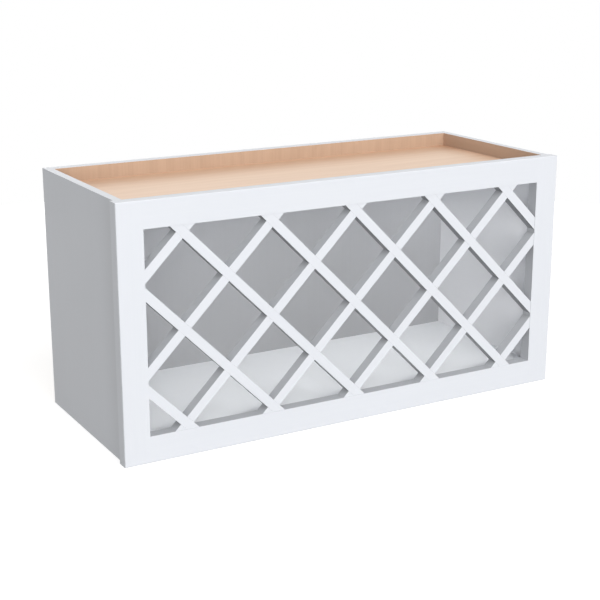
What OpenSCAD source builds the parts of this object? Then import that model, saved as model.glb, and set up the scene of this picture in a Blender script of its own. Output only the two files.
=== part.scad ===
// Wall wine rack cabinet: a plywood box behind a solid face frame, whose opening is filled by a
// fixed diagonal lattice. Bottles lie neck-out through the square cells of the lattice.
// Millimetres. X runs to the right, Y from the face frame back to the wall, Z up.
// The origin is under the middle of the cabinet, at the height of its bottom edges.

/* [Cabinet] */
// Overall width, across the face frame
cabinet_w = 762; // [600:1:1000]
// Overall height
cabinet_h = 381; // [300:1:760]
// Overall depth, from the face frame's front to the wall
cabinet_d = 304.8; // [250:0.1:400]

/* [Face frame] */
// Thickness of the stiles and rails
frame_t = 19.05; // [18:0.05:25]
// Width of each stile
stile_w = 40; // [34:0.5:60]
// Width of the top and bottom rails
rail_w = 40; // [36:0.5:60]
// How far each stile stands out past the side panel beside it
frame_reveal = 5; // [2:0.5:10]
// Depth of the grooves in the frame's back that the box panels stand in
frame_seat = 4; // [2:0.5:5]
// Size of the eased corners round the front of the frame
edge_ease = 0.8; // [0.2:0.1:2]
// Diameter of the dowels between rails and stiles
dowel_d = 8; // [6:1:8]
// Length of a dowel
dowel_l = 30; // [20:1:36]
// Distance from a rail's outer edge to its first dowel
dowel_inset = 9; // [7:0.5:12]
// Distance between the two dowels of a corner
dowel_spacing = 16; // [12:0.5:18]
// Length of the tapered tip at each end of a dowel
dowel_tip = 1.2; // [0.5:0.1:2]

/* [Box] */
// Thickness of the side panels
side_t = 12.7; // [12:0.1:19]
// Thickness of the top and bottom panels
panel_t = 12.7; // [12:0.1:18]
// Thickness of the back panel
back_t = 5; // [3:0.5:8]
// Depth of the dadoes and grooves in the side panels
dado_depth = 5; // [3:0.5:7]
// How far the floor lies below the bottom rail's upper edge
floor_reveal = 10; // [2:0.5:16]
// How far the ceiling lies above the top rail's lower edge
ceiling_reveal = 5.8; // [2:0.1:14]

/* [Hanging rails] */
// Thickness of the two rails behind the back panel
hang_rail_t = 12.7; // [10:0.1:19]
// Height of each hanging rail
hang_rail_h = 76; // [60:1:100]
// Number of screws in each hanging rail
screw_count = 4; // [3:1:6]
// Distance from a hanging rail's end to its first screw
screw_end = 64; // [30:1:90]
// Shank diameter of a screw
screw_d = 4.2; // [3.5:0.1:5]
// Length of a screw
screw_l = 38; // [30:1:50]
// Length of a screw's point
screw_point = 6; // [4:0.5:8]
// Diameter of a screw's flat head
screw_head_d = 8.2; // [7:0.1:9]
// How far a screw's head lies below the face that it is driven into
screw_sink = 0.4; // [0.2:0.1:1]
// Width of the square drive in a screw's head
drive_w = 2.6; // [2:0.1:3]
// Depth of the square drive
drive_depth = 1.8; // [1:0.1:2]

/* [Lattice] */
// Distance between neighbouring parallel strips, measured square to them
lattice_pitch = 100; // [85:1:140]
// Width of a strip's front face
strip_w = 14; // [10:0.5:20]
// Thickness of a strip, front to back
strip_t = 17.5; // [12:0.5:17.5]
// How far the lattice lies behind the frame's front
lattice_setback = 0.5; // [0.2:0.1:2]
// Least distance from a corner of the opening to the middle of the strip that cuts across it
corner_least = 30; // [20:1:40]
// Width of the stub tongue at each end of a strip
tongue_w = 8; // [5:0.5:10]
// Thickness of the stub tongue
tongue_t = 6; // [4:0.5:8]
// Length of the stub tongue
tongue_l = 5; // [3:0.5:6]

/* [Fits] */
// Gap on each side of a tongue, a lap or a panel in its seat
fit_gap = 0.1; // [0.05:0.01:0.2]
// Gap round a dowel or a screw in its bore
bore_gap = 0.05; // [0.02:0.01:0.1]
// Spare depth past the end of a tongue, a dowel or a screw
end_gap = 0.5; // [0.2:0.1:1]

/* [Hidden] */
front_y = -cabinet_d / 2;
wall_y = cabinet_d / 2;
frame_back_y = front_y + frame_t;
box_front_y = frame_back_y - frame_seat;
hang_front_y = wall_y - hang_rail_t;
back_front_y = hang_front_y - back_t;

opening_w = cabinet_w - 2 * stile_w;
opening_h = cabinet_h - 2 * rail_w;
middle_z = cabinet_h / 2;
box_w = cabinet_w - 2 * frame_reveal;
inside_w = box_w - 2 * side_t;
housed_w = inside_w + 2 * (dado_depth - fit_gap);

floor_z = rail_w - floor_reveal;
ceiling_z = cabinet_h - rail_w + ceiling_reveal;
PANEL_UNDERSIDES = [floor_z - panel_t, ceiling_z];

strip_y = front_y + lattice_setback;
lap_y = strip_y + strip_t / 2;
mortise_depth = tongue_l + end_gap;
node_pitch = lattice_pitch * sqrt(2);
// Strips each side of the middle one, out to the corners of the opening
outer_strips = floor(((opening_w + opening_h) / 2 - corner_least * sqrt(2)) / node_pitch);
STRIPS = [-outer_strips : outer_strips];
bar_l = opening_w + opening_h;

DOWEL_Z = [for (z = [dowel_inset, dowel_inset + dowel_spacing]) each [z, cabinet_h - z]];
dowel_y = front_y + frame_t / 2;

screw_span = inside_w - 2 * screw_end;
SCREW_X = [for (i = [0 : screw_count - 1]) screw_span * (i / (screw_count - 1) - 0.5)];
SCREW_Z = [for (z = PANEL_UNDERSIDES) z + panel_t / 2];
screw_head_h = (screw_head_d - screw_d) / 2;

overcut = 1;
$fn = 32;

painted = [0.93, 0.94, 0.96];
maple = [0.91, 0.80, 0.70];
plywood = [0.80, 0.68, 0.52];
beech = [0.83, 0.68, 0.49];
zinc = [0.72, 0.72, 0.70];

function rising_name(k) = str("rising_strip_", k + outer_strips + 1);
function falling_name(k) = str("falling_strip_", k + outer_strips + 1);

// A block between two opposite corners
module block(low, high) {
    translate(low) cube(high - low);
}

// The right half's shape, mirrored for the left where side is -1
module on_side(side) {
    if (side > 0) children();
    else mirror([1, 0, 0]) children();
}

// Box

// A side panel with a dado for each horizontal panel and a groove for the back
module side_panel(side) {
    inner = inside_w / 2;
    color(painted) on_side(side) difference() {
        block([inner, box_front_y, 0], [box_w / 2, wall_y, cabinet_h]);
        for (z = PANEL_UNDERSIDES)
            block(
                [inner - overcut, box_front_y - overcut, z - fit_gap],
                [inner + dado_depth, back_front_y + fit_gap, z + panel_t + fit_gap]
            );
        block(
            [inner - overcut, back_front_y - fit_gap, -overcut],
            [inner + dado_depth, hang_front_y + fit_gap, cabinet_h + overcut]
        );
    }
}

// A horizontal panel, housed in both sides and in the frame, screwed from behind
module horizontal_panel(underside) {
    difference() {
        block([-housed_w / 2, box_front_y, underside], [housed_w / 2, back_front_y, underside + panel_t]);
        screw_holes();
    }
}

module top_panel() {
    color(maple) horizontal_panel(ceiling_z);
}

module bottom_panel() {
    color(painted) horizontal_panel(floor_z - panel_t);
}

module back_panel() {
    color(maple) difference() {
        block([-housed_w / 2, back_front_y, 0], [housed_w / 2, hang_front_y, cabinet_h]);
        screw_holes();
    }
}

// A rail behind the back panel that the cabinet hangs by
module hanging_rail(underside) {
    half = inside_w / 2 - fit_gap;
    color(plywood) difference() {
        block([-half, hang_front_y, underside], [half, wall_y, underside + hang_rail_h]);
        screw_holes();
    }
}

// Places its children at each screw, with +Z along the screw towards the front
module at_screws() {
    for (x = SCREW_X, z = SCREW_Z)
        translate([x, wall_y - screw_sink, z]) rotate([90, 0, 0]) children();
}

module screw_holes() {
    at_screws() rotate_extrude() polygon([
        [0, -overcut - screw_sink],
        [screw_head_d / 2 + bore_gap, -overcut - screw_sink],
        [screw_head_d / 2 + bore_gap, 0],
        [screw_d / 2 + bore_gap, screw_head_h],
        [screw_d / 2 + bore_gap, screw_l + end_gap],
        [0, screw_l + end_gap]
    ]);
}

// Flat-head wood screws through rail and back into the horizontal panels' rear edges
module hanging_rail_screws() {
    color(zinc) at_screws() difference() {
        rotate_extrude() polygon([
            [0, 0],
            [screw_head_d / 2, 0],
            [screw_d / 2, screw_head_h],
            [screw_d / 2, screw_l - screw_point],
            [0, screw_l]
        ]);
        translate([-drive_w / 2, -drive_w / 2, -overcut]) cube([drive_w, drive_w, overcut + drive_depth]);
    }
}

// Face frame

// The room that the box panels' front edges take in the frame's back
module box_seats() {
    depth_y = box_front_y - fit_gap;
    for (side = [-1, 1])
        on_side(side) block(
            [inside_w / 2 - fit_gap, depth_y, -overcut],
            [box_w / 2 + fit_gap, frame_back_y + overcut, cabinet_h + overcut]
        );
    for (z = PANEL_UNDERSIDES)
        block(
            [-inside_w / 2, depth_y, z - fit_gap],
            [inside_w / 2, frame_back_y + overcut, z + panel_t + fit_gap]
        );
}

// The mortises round the opening that take the lattice's tongues
module lattice_mortises() {
    half_t = tongue_t / 2 + fit_gap;
    intersection() {
        opening_block(mortise_depth);
        for (k = STRIPS, slope = [-1, 1])
            diagonal_bar(k, slope, tongue_w + 2 * fit_gap, lap_y - half_t, lap_y + half_t);
    }
}

// A bevel along each front edge of the frame's outline
module eased_edges() {
    bevel = edge_ease * sqrt(2);
    for (x = [-cabinet_w / 2, cabinet_w / 2])
        translate([x, front_y, middle_z]) rotate([0, 0, 45])
            cube([bevel, bevel, cabinet_h + 2 * overcut], center = true);
    for (z = [0, cabinet_h])
        translate([0, front_y, z]) rotate([45, 0, 0])
            cube([cabinet_w + 2 * overcut, bevel, bevel], center = true);
}

// Places its children at each dowel, with +Z along the dowel
module at_dowels() {
    for (x = [-opening_w / 2, opening_w / 2], z = DOWEL_Z)
        translate([x, dowel_y, z]) rotate([0, 90, 0]) children();
}

module frame_dowels() {
    color(beech) at_dowels() rotate_extrude() polygon([
        [0, -dowel_l / 2],
        [dowel_d / 2 - dowel_tip / 2, -dowel_l / 2],
        [dowel_d / 2, -dowel_l / 2 + dowel_tip],
        [dowel_d / 2, dowel_l / 2 - dowel_tip],
        [dowel_d / 2 - dowel_tip / 2, dowel_l / 2],
        [0, dowel_l / 2]
    ]);
}

// A member of the face frame between two corners in the frame's plane
module frame_member(low_x, low_z, high_x, high_z) {
    color(painted) difference() {
        block([low_x, front_y, low_z], [high_x, frame_back_y, high_z]);
        box_seats();
        lattice_mortises();
        eased_edges();
        at_dowels() cylinder(d = dowel_d + 2 * bore_gap, h = dowel_l + 2 * end_gap, center = true);
    }
}

module left_stile() {
    frame_member(-cabinet_w / 2, 0, -opening_w / 2, cabinet_h);
}

module right_stile() {
    frame_member(opening_w / 2, 0, cabinet_w / 2, cabinet_h);
}

module bottom_rail() {
    frame_member(-opening_w / 2, 0, opening_w / 2, rail_w);
}

module top_rail() {
    frame_member(-opening_w / 2, cabinet_h - rail_w, opening_w / 2, cabinet_h);
}

// Lattice

// A bar through the middle row of crossings, rising to the right, or falling where slope is -1
module diagonal_bar(k, slope, width, low_y, high_y) {
    translate([k * node_pitch, low_y, middle_z]) rotate([0, -45 * slope, 0])
        translate([-bar_l / 2, 0, -width / 2]) cube([bar_l, high_y - low_y, width]);
}

// The frame's opening, grown by a margin on every side, over the whole depth of the cabinet
module opening_block(margin) {
    half_x = opening_w / 2 + margin;
    half_z = opening_h / 2 + margin;
    block([-half_x, front_y - overcut, middle_z - half_z], [half_x, wall_y, middle_z + half_z]);
}

// The room that a crossing strip takes: its full width in the opening, its tongue's in the frame
module crossing_room(k, slope, low_y, high_y) {
    intersection() {
        diagonal_bar(k, slope, strip_w + 2 * fit_gap, low_y, high_y);
        opening_block(0);
    }
    intersection() {
        diagonal_bar(k, slope, tongue_w + 2 * fit_gap, low_y, high_y);
        opening_block(mortise_depth);
    }
}

// One strip: cut to the opening, tongued into the frame, and halved at every crossing.
// Rising strips lose their front half at a crossing and falling strips their back half.
module lattice_strip(k, slope) {
    back_y = strip_y + strip_t;
    notch_low = slope > 0 ? strip_y - overcut : lap_y;
    notch_high = slope > 0 ? lap_y : back_y + overcut;
    color(painted) difference() {
        union() {
            intersection() {
                diagonal_bar(k, slope, strip_w, strip_y, back_y);
                opening_block(-fit_gap);
            }
            intersection() {
                diagonal_bar(k, slope, tongue_w, lap_y - tongue_t / 2, lap_y + tongue_t / 2);
                opening_block(tongue_l);
            }
        }
        for (j = STRIPS) crossing_room(j, -slope, notch_low, notch_high);
    }
}

side_panel(-1);  // left_side_panel
side_panel(1);  // right_side_panel
top_panel();
bottom_panel();
back_panel();
hanging_rail(cabinet_h - hang_rail_h);  // upper_hanging_rail
hanging_rail(0);  // lower_hanging_rail
hanging_rail_screws();
left_stile();
right_stile();
top_rail();
bottom_rail();
frame_dowels();
for (k = STRIPS) lattice_strip(k, 1);
for (k = STRIPS) lattice_strip(k, -1);
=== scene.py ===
"""Wall wine rack: a painted face frame and lattice on a plywood box, with a maple-veneered recess on top.

The row frame: metres, X to the right, Y from the face frame back to the wall, Z up.
"""

import math

import bpy
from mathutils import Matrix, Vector


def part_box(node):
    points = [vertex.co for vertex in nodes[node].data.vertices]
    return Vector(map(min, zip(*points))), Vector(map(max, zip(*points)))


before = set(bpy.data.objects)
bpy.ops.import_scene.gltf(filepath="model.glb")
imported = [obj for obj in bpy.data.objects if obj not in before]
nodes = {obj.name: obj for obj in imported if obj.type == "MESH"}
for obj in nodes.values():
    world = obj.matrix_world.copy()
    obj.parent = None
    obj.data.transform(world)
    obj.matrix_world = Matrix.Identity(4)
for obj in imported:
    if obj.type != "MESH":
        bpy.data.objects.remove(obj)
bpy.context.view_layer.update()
scene = bpy.context.scene

X, Y, Z = 0, 1, 2

# Camera, solved from the photograph's edges
CAMERA_PLACE = (-1.01534, -1.75826, 0.73471)
CAMERA_YAW = math.radians(29.772)
CAMERA_PITCH = math.radians(15.921)
CAMERA_LENS = 78.419
CAMERA_SENSOR = 36

camera = bpy.data.objects.new("camera", bpy.data.cameras.new("camera"))
scene.collection.objects.link(camera)
camera.location = CAMERA_PLACE
camera.rotation_euler = (math.pi / 2 - CAMERA_PITCH, 0, -CAMERA_YAW)
camera.data.sensor_width = CAMERA_SENSOR
camera.data.lens = CAMERA_LENS
scene.camera = camera

# Studio light: name: (azimuth, elevation, width, height, watts), azimuth 0 in front and 90 on the right
LIGHT_TARGET = Vector((0, 0, 0.19))
LIGHT_DISTANCE = 14.0
LIGHTS = {
    "key": (5, 42, 15.0, 10.0, 1450),
    "front": (-29, 10, 18.0, 4.8, 1260),
    "right": (90, 15, 8.0, 8.0, 320),
    "rear": (-176, 14, 8.0, 8.0, 700),
}
AMBIENT = 0.275

scene.view_settings.view_transform = "Standard"
for name, (azimuth, elevation, width, height, watts) in LIGHTS.items():
    light = bpy.data.lights.new(name, "AREA")
    light.shape = "RECTANGLE"
    light.size = width
    light.size_y = height
    light.energy = watts
    lamp = bpy.data.objects.new(name, light)
    scene.collection.objects.link(lamp)
    turn, rise = math.radians(azimuth), math.radians(elevation)
    away = Vector((math.sin(turn) * math.cos(rise), -math.cos(turn) * math.cos(rise), math.sin(rise)))
    lamp.location = LIGHT_TARGET + LIGHT_DISTANCE * away
    lamp.rotation_euler = away.to_track_quat("Z", "Y").to_euler()
    lamp.visible_camera = False


def grey(level):
    return (level, level, level)


class Graph:
    """A material's or the world's node tree. Its calls add nodes and return their output sockets."""

    def __init__(self, owner):
        owner.use_nodes = True
        self.tree = owner.node_tree
        self.tree.nodes.clear()
        self.kept = {}

    def add(self, kind, inputs, **settings):
        """A node with its inputs, by name or index, set to a value or linked to a socket."""
        node = self.tree.nodes.new("ShaderNode" + kind)
        for key, value in settings.items():
            setattr(node, key, value)
        for key, value in inputs.items():
            socket = node.inputs[key]
            if isinstance(value, bpy.types.NodeSocket):
                self.tree.links.new(value, socket)
            elif socket.type == "RGBA":
                socket.default_value = (*value, 1)
            else:
                socket.default_value = value
        return node

    def math(self, operation, a, b=0.0, c=0.0):
        return self.add("Math", {0: a, 1: b, 2: c}, operation=operation).outputs[0]

    def either(self, a, b):
        return self.math("MAXIMUM", a, b)

    def both(self, a, b):
        return self.math("MULTIPLY", a, b)

    def weighted(self, *parts):
        """The sum of (socket, weight) pairs."""
        total = 0.0
        for socket, weight in parts:
            total = self.math("MULTIPLY_ADD", socket, weight, total)
        return total

    def blend(self, factor, a, b):
        """Colour a where factor is 0, b where it is 1."""
        return self.add("Mix", {0: factor, 6: a, 7: b}, data_type="RGBA").outputs[2]

    def between(self, factor, a, b):
        """Number a where factor is 0, b where it is 1."""
        return self.add("Mix", {0: factor, 2: a, 3: b}, data_type="FLOAT").outputs[0]

    def times(self, a, b):
        """Colour a multiplied by colour b, channel by channel."""
        return self.add("VectorMath", {0: a, 1: b}, operation="MULTIPLY").outputs[0]

    def rise(self, value, start, end):
        """0 up to start, 1 from end on, smooth between them."""
        inputs = {0: value, 1: start, 2: end, 3: 0.0, 4: 1.0}
        return self.add("MapRange", inputs, interpolation_type="SMOOTHSTEP").outputs[0]

    def coordinate(self, name):
        """Object is the point's place in the row frame, Normal the way that its surface faces."""
        if name not in self.kept:
            self.kept[name] = self.add("TexCoord", {}).outputs[name]
        return self.kept[name]

    def axis(self, name, index):
        if (name, index) not in self.kept:
            parts = self.add("SeparateXYZ", {0: self.coordinate(name)}).outputs
            for i in (X, Y, Z):
                self.kept[name, i] = parts[i]
        return self.kept[name, index]

    def faces(self, index, sign):
        """1 where the surface faces along an axis, with that sign."""
        return self.math("GREATER_THAN", self.math("MULTIPLY", self.axis("Normal", index), sign), 0.5)

    def beyond(self, index, limit):
        return self.math("GREATER_THAN", self.axis("Object", index), limit)

    def short_of(self, index, limit):
        return self.math("LESS_THAN", self.axis("Object", index), limit)

    def within(self, half_width, low, high):
        """1 less than half_width off the middle of X and between two heights."""
        wide = self.math("LESS_THAN", self.math("ABSOLUTE", self.axis("Object", X)), half_width)
        return self.both(wide, self.both(self.beyond(Z, low), self.short_of(Z, high)))

    def grained(self, turn, along, across):
        """Coordinates for a texture with features of these sizes in metres, its X turned along the grain."""
        inputs = {"Vector": self.coordinate("Object"), "Rotation": turn, "Scale": (along, across, across)}
        return self.add("Mapping", inputs, vector_type="TEXTURE").outputs[0]

    def noise(self, turn, size, detail, roughness=0.5):
        """Noise with features of this size, given as (along the grain, across it)."""
        inputs = {"Vector": self.grained(turn, *size), "Scale": 1.0, "Detail": detail, "Roughness": roughness}
        return self.add("TexNoise", inputs).outputs[0]


# Directions of the grain, as turns of the X axis
ALONG_X = (0, 0, 0)
ALONG_Y = (0, 0, math.pi / 2)
ALONG_Z = (0, -math.pi / 2, 0)
RISING = (0, -math.pi / 4, 0)
FALLING = (0, math.pi / 4, 0)

# Colours, each a pair that the pattern runs between
WHITE = ((0.731, 0.751, 0.792), (0.743, 0.763, 0.803))
# Painted shade: darker copies of the white paint, for the narrow faces round the cells, the strips'
# undersides and the outer sides
SHADED_WHITE_EDGE = ((0.522, 0.534, 0.560), (0.537, 0.549, 0.574))
SHADED_WHITE_UNDER = ((0.298, 0.305, 0.319), (0.311, 0.319, 0.332))
SHADED_WHITE_SIDE = ((0.558, 0.575, 0.607), (0.573, 0.590, 0.622))
# Painted light: paler copies of the white paint for the back panel and the inside of the box
WHITE_BACK = ((0.828, 0.836, 0.858), (0.846, 0.853, 0.877))
LIT_WHITE_INSIDE = ((0.948, 0.964, 0.983), (0.956, 0.972, 0.990))
LIT_WHITE_WALL = ((0.954, 0.960, 0.980), (0.962, 0.968, 0.986))
MAPLE = ((0.842, 0.613, 0.450), (0.914, 0.687, 0.521))
# Painted shade: darker copies of the maple veneer for the recess's walls
SHADED_MAPLE_BACK = ((0.441, 0.302, 0.211), (0.497, 0.342, 0.242))
SHADED_MAPLE_SIDE = ((0.453, 0.315, 0.225), (0.501, 0.348, 0.253))
PLY_FACE = ((0.720, 0.535, 0.345), (0.815, 0.635, 0.435))
PLY_EDGE = ((0.43, 0.29, 0.17), (0.78, 0.60, 0.41))
BEECH = ((0.56, 0.37, 0.23), (0.72, 0.51, 0.34))
ZINC = ((0.34, 0.35, 0.35), (0.46, 0.47, 0.48))

# Roughness of each surface, a pair that the pattern runs between, and what flat paint adds to satin
SATIN = (0.34, 0.48)
FLAT_STEP = 0.2
CLEAR_COAT = (0.36, 0.52)
BARE = (0.62, 0.78)
BARE_BEECH = (0.60, 0.75)
SAWN = (0.75, 0.62)
PLATING = (0.34, 0.52)

# How flat a paint is, from satin to flat
SHEEN = 0.0
FLAT = 1.0

# Features of the patterns, each (along the grain, across it), and the height of the relief
PAINT_CLOUD = (0.30, 0.10)
PAINT_GRAIN = (0.16, 0.0035)
PAINT_PEEL = (0.0014, 0.0014)
VENEER_BANDS = (0.9, 0.045)
VENEER_BEND = (0.40, 0.080)
VENEER_ARCHES = (1.0, 0.028)
VENEER_STREAKS = (0.26, 0.0030)
VENEER_FIBRES = (0.018, 0.0006)
VENEER_FLECKS = (0.012, 0.0016)
PLY_WANDER = (0.12, 0.02)
PLY_PORES = (0.0012, 0.0005)
PLY_FIBRES = (0.02, 0.0008)
ZINC_MOTTLE = (0.0015, 0.0015)
ZINC_DRAWN = (0.008, 0.0002)
RELIEF = 0.00005

# How far the bend moves the arches, in arches, and how dark a fleck is
ARCH_BEND = 4.5
FLECK_DARK = 0.35

# Plywood's edge: how far its layers wander, in plies, how pale its end grain is and how dark its glue is
WANDER_PLIES = 0.25
END_GRAIN = 0.6
GLUE_DARK = 0.7


def painted(colours, turn, matte=SHEEN):
    """Sprayed paint over wood: faint cloud, the grain showing through, and a fine peel."""

    def finish(graph):
        cloud = graph.noise(turn, PAINT_CLOUD, 3)
        grain = graph.noise(turn, PAINT_GRAIN, 4, 0.6)
        peel = graph.noise(ALONG_X, PAINT_PEEL, 1)
        tone = graph.weighted((cloud, 0.5), (grain, 0.5))
        colour = graph.blend(graph.rise(tone, 0.36, 0.64), *colours)
        gloss = graph.between(grain, *(rough + FLAT_STEP * matte for rough in SATIN))
        return colour, gloss, graph.weighted((grain, 0.65), (peel, 0.35)), matte

    return finish


def veneered(colours, turn, coat=CLEAR_COAT):
    """Wood, clear-coated or bare: broad bands, arched figure, fine streaks, fibres and a few short flecks."""

    def finish(graph):
        bands = graph.noise(turn, VENEER_BANDS, 2)
        bend = graph.noise(turn, VENEER_BEND, 2)
        streaks = graph.noise(turn, VENEER_STREAKS, 4, 0.6)
        fibres = graph.noise(turn, VENEER_FIBRES, 2)
        flecks = graph.rise(graph.noise(turn, VENEER_FLECKS, 1), 0.66, 0.78)
        parts = graph.add("SeparateXYZ", {0: graph.grained(turn, *VENEER_ARCHES)}).outputs
        arches = graph.weighted((parts[Y], 1.0), (parts[Z], 1.0), (bend, ARCH_BEND))
        arches = graph.math("SINE", graph.math("MULTIPLY", arches, math.tau))
        arches = graph.math("MULTIPLY_ADD", arches, 0.5, 0.5)
        tone = graph.weighted((bands, 0.28), (arches, 0.10), (streaks, 0.44), (fibres, 0.18))
        tone = graph.weighted((graph.rise(tone, 0.30, 0.68), 1.0), (flecks, -FLECK_DARK))
        colour = graph.blend(graph.math("MAXIMUM", tone, 0.0), *colours)
        return colour, graph.between(streaks, *coat), graph.weighted((streaks, 0.5), (fibres, 0.5)), SHEEN

    return finish


def with_painted_shade(finish, *planes):
    """A finish with painted shade, darkened softly near planes, each (axis, place, reach, share of the colour
    left there).
    """

    def deeper(graph):
        colour, *others = finish(graph)
        for axis, place, reach, share in planes:
            off = graph.math("ABSOLUTE", graph.math("SUBTRACT", graph.axis("Object", axis), place))
            colour = graph.times(colour, graph.blend(graph.rise(off, 0.0, reach), share, grey(1.0)))
        return colour, *others

    return deeper


def laminated(axis, start, thickness, plies, turn):
    """The sawn edge of plywood: layers across one axis, with glue lines, every other one end grain."""

    def finish(graph):
        depth = graph.math("ABSOLUTE", graph.math("SUBTRACT", graph.axis("Object", axis), start))
        depth = graph.math("MULTIPLY", depth, plies / thickness)
        depth = graph.math("MULTIPLY_ADD", graph.noise(turn, PLY_WANDER, 2), WANDER_PLIES, depth)
        odd = graph.math("GREATER_THAN", graph.math("MODULO", depth, 2.0), 1.0)
        glue = graph.math("SUBTRACT", 1.0, graph.rise(graph.math("PINGPONG", depth, 0.5), 0.03, 0.14))
        pores = graph.noise(turn, PLY_PORES, 3)
        fibre = graph.noise(turn, PLY_FIBRES, 3)
        end_grain = graph.math("MULTIPLY", graph.rise(pores, 0.3, 0.7), END_GRAIN)
        tone = graph.between(odd, graph.rise(fibre, 0.2, 0.8), end_grain)
        tone = graph.math("MULTIPLY", tone, graph.math("MULTIPLY_ADD", glue, -GLUE_DARK, 1.0))
        colour = graph.blend(tone, *PLY_EDGE)
        return colour, graph.between(tone, *SAWN), graph.between(odd, fibre, pores), SHEEN

    return finish


def plated(graph):
    """Zinc plating: faintly mottled, drawn along the screw."""
    mottle = graph.noise(ALONG_X, ZINC_MOTTLE, 3)
    drawn = graph.noise(ALONG_Y, ZINC_DRAWN, 2)
    tone = graph.weighted((mottle, 0.6), (drawn, 0.4))
    colour = graph.blend(graph.rise(tone, 0.35, 0.65), *ZINC)
    return colour, graph.between(mottle, *PLATING), drawn, SHEEN


def dress(names, base, overlays=(), **constants):
    """One material for these nodes: the base finish, with others laid over it where their masks are 1."""
    material = bpy.data.materials.new(names[0] + "_finish")
    graph = Graph(material)
    colour, roughness, height, matte = base(graph)
    for mask, finish in overlays:
        where = mask(graph)
        over = finish(graph)
        colour = graph.blend(where, colour, over[0])
        roughness = graph.between(where, roughness, over[1])
        height = graph.between(where, height, over[2])
        if matte != over[3]:
            matte = graph.between(where, matte, over[3])
    normal = graph.add("Bump", {"Height": height, "Distance": RELIEF}).outputs[0]
    inputs = {"Base Color": colour, "Roughness": roughness, "Normal": normal, "Diffuse Roughness": matte}
    shader = graph.add("BsdfPrincipled", inputs)
    for name, value in constants.items():
        shader.inputs[name].default_value = value
    graph.add("OutputMaterial", {0: shader.outputs[0]})
    for name in names:
        mesh = nodes[name].data
        mesh.materials.clear()
        mesh.materials.append(material)


# Places on the cabinet, each slack keeping a mask's limit clear of the face that it is meant to catch
OPENING_SLACK = 0.0003
PANEL_SLACK = 0.003
FACE_SLACK = 0.001

opening_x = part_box("right_stile")[0].x
opening_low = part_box("bottom_rail")[1].z
opening_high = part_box("top_rail")[0].z
frame_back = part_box("right_stile")[1].y
side_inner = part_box("right_side_panel")[0].x
side_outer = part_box("right_side_panel")[1].x
panels_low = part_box("bottom_panel")[0].z + PANEL_SLACK
panels_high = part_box("top_panel")[1].z - PANEL_SLACK
back_low, back_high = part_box("back_panel")
rail_low, rail_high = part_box("upper_hanging_rail")


def middle_x(name):
    low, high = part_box(name)
    return (low.x + high.x) / 2


# The lattice repeats at this distance along X
cell_x = middle_x("rising_strip_5") - middle_x("rising_strip_4")
lattice_z = (opening_low + opening_high) / 2


def facing(index, sign):
    """A mask that is 1 on the faces towards one end of an axis."""
    return lambda graph: graph.faces(index, sign)


def overlap(a, b):
    """A mask that is 1 where two others are."""
    return lambda graph: graph.both(a(graph), b(graph))


def narrow_face(graph):
    """1 on faces that are square to the frame's plane."""
    return graph.math("LESS_THAN", graph.math("ABSOLUTE", graph.axis("Normal", Y)), 0.5)


def round_opening(graph):
    """1 on the frame's faces that line the opening."""
    low, high = opening_low - OPENING_SLACK, opening_high + OPENING_SLACK
    return graph.both(graph.within(opening_x + OPENING_SLACK, low, high), narrow_face(graph))


def inner_rear(graph):
    """1 on the frame's rear faces inside the box, between its side panels and its top and bottom panels."""
    return graph.both(graph.within(side_inner, panels_low, panels_high), graph.faces(Y, 1))


def past_panels(graph):
    """1 above the top panel and below the bottom panel."""
    return graph.either(graph.beyond(Z, panels_high), graph.short_of(Z, panels_low))


def behind_back(graph):
    """1 to the rear of the back panel's front."""
    return graph.beyond(Y, back_low.y + FACE_SLACK)


def rail_top(graph):
    """1 at the upper hanging rail's top, which is part of the rear rim."""
    return graph.beyond(Z, rail_high.z - FACE_SLACK)


def rail_edges(graph):
    return graph.either(graph.faces(Z, 1), graph.faces(Z, -1))


UPWARD = facing(Z, 1)
DOWNWARD = facing(Z, -1)
FORWARD = facing(Y, -1)
REARWARD = facing(Y, 1)

# Where the painted shade below a crossing starts and ends, as shares of the way from one crossing to the next
CORNER_SHADE_START = 0.80
CORNER_SHADE_END = 0.93
CORNER_SHADE_SHARE = grey(0.81)


def with_crossing_shade(finish, sign):
    """A finish with painted shade that darkens softly up a strip's narrow faces, just short of each crossing
    above.
    """

    def darker(graph):
        colour, *others = finish(graph)
        up = graph.weighted((graph.axis("Object", X), sign), (graph.axis("Object", Z), 1.0))
        cells = graph.math("DIVIDE", graph.math("SUBTRACT", up, lattice_z), cell_x)
        near = graph.rise(graph.math("FRACT", cells), CORNER_SHADE_START, CORNER_SHADE_END)
        return graph.times(colour, graph.blend(near, grey(1.0), CORNER_SHADE_SHARE)), *others

    return darker


# Face frame and lattice: darker paint as painted shade on the outer sides, the narrow faces round the cells
# and the undersides, paler paint as painted light on the rear faces inside the box
for name, turn, outward in (
    ("left_stile", ALONG_Z, -1),
    ("right_stile", ALONG_Z, 1),
    ("top_rail", ALONG_X, 1),
    ("bottom_rail", ALONG_X, 1),
):
    overlays = [
        (facing(X, outward), painted(SHADED_WHITE_SIDE, turn)),
        (round_opening, painted(SHADED_WHITE_EDGE, turn)),
        (inner_rear, painted(LIT_WHITE_INSIDE, turn, FLAT)),
    ]
    dress([name], painted(WHITE, turn), overlays)
for direction, turn, sign in (("rising", RISING, 1), ("falling", FALLING, -1)):
    overlays = [
        (narrow_face, with_crossing_shade(painted(SHADED_WHITE_EDGE, turn), sign)),
        (DOWNWARD, painted(SHADED_WHITE_UNDER, turn)),
        (REARWARD, painted(LIT_WHITE_INSIDE, turn, FLAT)),
    ]
    dress(sorted(name for name in nodes if name.startswith(direction)), painted(WHITE, turn), overlays)

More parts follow.
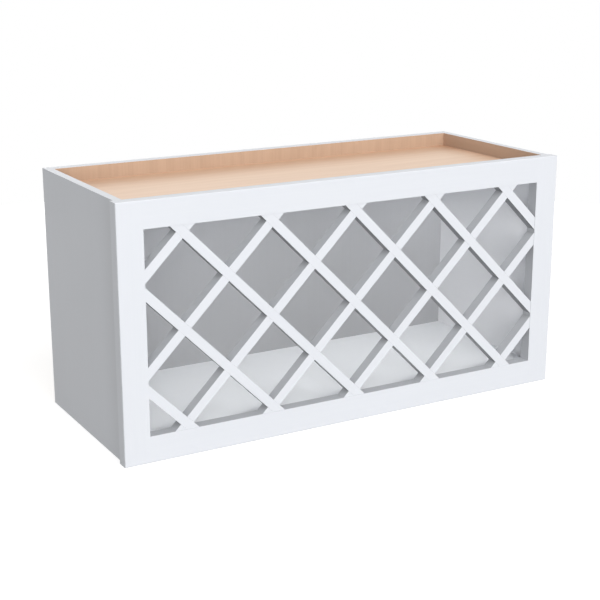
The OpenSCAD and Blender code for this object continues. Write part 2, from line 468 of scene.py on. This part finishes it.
# Painted shade on the box's faces, soft darkening near planes, each (axis, place, reach, share of the colour
# left there)
SIDE_SHADE_BY_FRAME = (Y, frame_back, 0.070, grey(0.91))
WALL_LOW_SHADE = (Z, 0.060, 0.200, grey(0.94))
BACK_LOW_SHADE = (Z, back_low.z, 0.300, grey(0.62))
BACK_HALFWAY_SHADE = (Z, 0.170, 0.120, grey(0.95))
BACK_MIDDLE_SHADE = (X, 0.120, 0.330, grey(0.86))
FLOOR_FRONT_SHADE = (Y, -0.080, 0.180, grey(0.97))
RECESS_REAR_SHADE = (Y, back_low.y, 0.105, (0.77, 0.67, 0.60))
RECESS_ENDS_SHADE = [(X, end, 0.050, (0.90, 0.84, 0.80)) for end in (-side_inner, side_inner)]

# Layers of the plywood, and the weaker reflection of the cabinet's floor
THICK_PLIES = 9
THIN_PLIES = 5
DULL = {"Specular IOR Level": 0.25}

# Box: painted round the bottle space and outside, veneer beyond the top and bottom panels; the inner walls
# get a paler white as painted light, darker towards the bottom as painted shade
shaded_inner_wall = with_painted_shade(painted(LIT_WHITE_WALL, ALONG_Y, FLAT), WALL_LOW_SHADE)
side_t = side_outer - side_inner
# Painted shade on the side panels' outer faces: a darker white, darker still near the face frame
for name, outward in (("left_side_panel", -1), ("right_side_panel", 1)):
    inward = facing(X, -outward)
    overlays = [
        (UPWARD, painted(WHITE, ALONG_Y)),
        (inward, shaded_inner_wall),
        (overlap(inward, past_panels), veneered(SHADED_MAPLE_SIDE, ALONG_Y)),
        (overlap(inward, behind_back), veneered(PLY_FACE, ALONG_Z, BARE)),
        (REARWARD, laminated(X, outward * side_outer, side_t, THICK_PLIES, ALONG_Z)),
    ]
    dress([name], with_painted_shade(painted(SHADED_WHITE_SIDE, ALONG_Z), SIDE_SHADE_BY_FRAME), overlays)

# Painted shade on the back panel's paler white: darker towards the bottom, about halfway up and round x =
# 0.12
shaded_back_paint = with_painted_shade(painted(WHITE_BACK, ALONG_Z), BACK_LOW_SHADE, BACK_HALFWAY_SHADE, BACK_MIDDLE_SHADE)
overlays = [
    (UPWARD, painted(WHITE, ALONG_X)),
    (overlap(FORWARD, past_panels), veneered(SHADED_MAPLE_BACK, ALONG_Z)),
    (REARWARD, veneered(PLY_FACE, ALONG_Z, BARE)),
    (DOWNWARD, laminated(Y, back_low.y, back_high.y - back_low.y, THIN_PLIES, ALONG_X)),
]
dress(["back_panel"], shaded_back_paint, overlays)

# Painted light inside the box, a paler white; painted shade near the front of the bottom panel and round the
# recess's floor
lit_inside_paint = painted(LIT_WHITE_INSIDE, ALONG_X, FLAT)
shaded_recess_floor = with_painted_shade(veneered(MAPLE, ALONG_X), RECESS_REAR_SHADE, *RECESS_ENDS_SHADE)
ply_face = veneered(PLY_FACE, ALONG_X, BARE)
dress(["top_panel"], lit_inside_paint, [(UPWARD, shaded_recess_floor)])
dress(["bottom_panel"], with_painted_shade(lit_inside_paint, FLOOR_FRONT_SHADE), [(DOWNWARD, ply_face)], **DULL)

overlays = [
    (rail_edges, laminated(Y, rail_low.y, rail_high.y - rail_low.y, THICK_PLIES, ALONG_X)),
    (overlap(UPWARD, rail_top), painted(WHITE, ALONG_X)),
]
dress(["upper_hanging_rail", "lower_hanging_rail"], ply_face, overlays)
dress(["frame_dowels"], veneered(BEECH, ALONG_X, BARE_BEECH))
dress(["hanging_rail_screws"], plated, Metallic=1.0)

# Floor and world: white to the camera and in reflections, dim in the light that they give back
FLOOR_RADIUS = 1.7
FLOOR_CORNERS = 128
FLOOR_DIFFUSE = grey(0.45)
FLOOR_DIM = grey(0.18)

# The floor's own glow rises from this strength to full white between two distances from its middle
FLOOR_GLOW = 0.72
GLOW_START = 0.9
GLOW_END = 1.6


def seen_directly(graph):
    rays = graph.add("LightPath", {}).outputs
    seen = graph.either(rays["Is Camera Ray"], rays["Is Glossy Ray"])
    return graph.either(seen, rays["Is Transmission Ray"])


bpy.ops.mesh.primitive_circle_add(vertices=FLOOR_CORNERS, radius=FLOOR_RADIUS, fill_type="NGON")
floor = bpy.context.object
floor.name = "floor"
material = bpy.data.materials.new("floor")
graph = Graph(material)
radius = graph.add("VectorMath", {0: graph.coordinate("Object")}, operation="LENGTH").outputs["Value"]
glow_strength = graph.between(graph.rise(radius, GLOW_START, GLOW_END), FLOOR_GLOW, 1.0)
lit = graph.add("BsdfDiffuse", {"Color": FLOOR_DIFFUSE}).outputs[0]
glow = graph.add("Emission", {"Color": grey(1.0), "Strength": glow_strength}).outputs[0]
pale = graph.add("AddShader", {0: lit, 1: glow}).outputs[0]
dim = graph.add("BsdfDiffuse", {"Color": FLOOR_DIM}).outputs[0]
shown = graph.add("MixShader", {0: seen_directly(graph), 1: dim, 2: pale}).outputs[0]
graph.add("OutputMaterial", {0: shown})
floor.data.materials.append(material)

world = bpy.data.worlds.new("studio")
scene.world = world
graph = Graph(world)
strength = graph.between(seen_directly(graph), AMBIENT, 1.0)
shown = graph.add("Background", {"Color": grey(1.0), "Strength": strength}).outputs[0]
graph.add("OutputWorld", {0: shown})
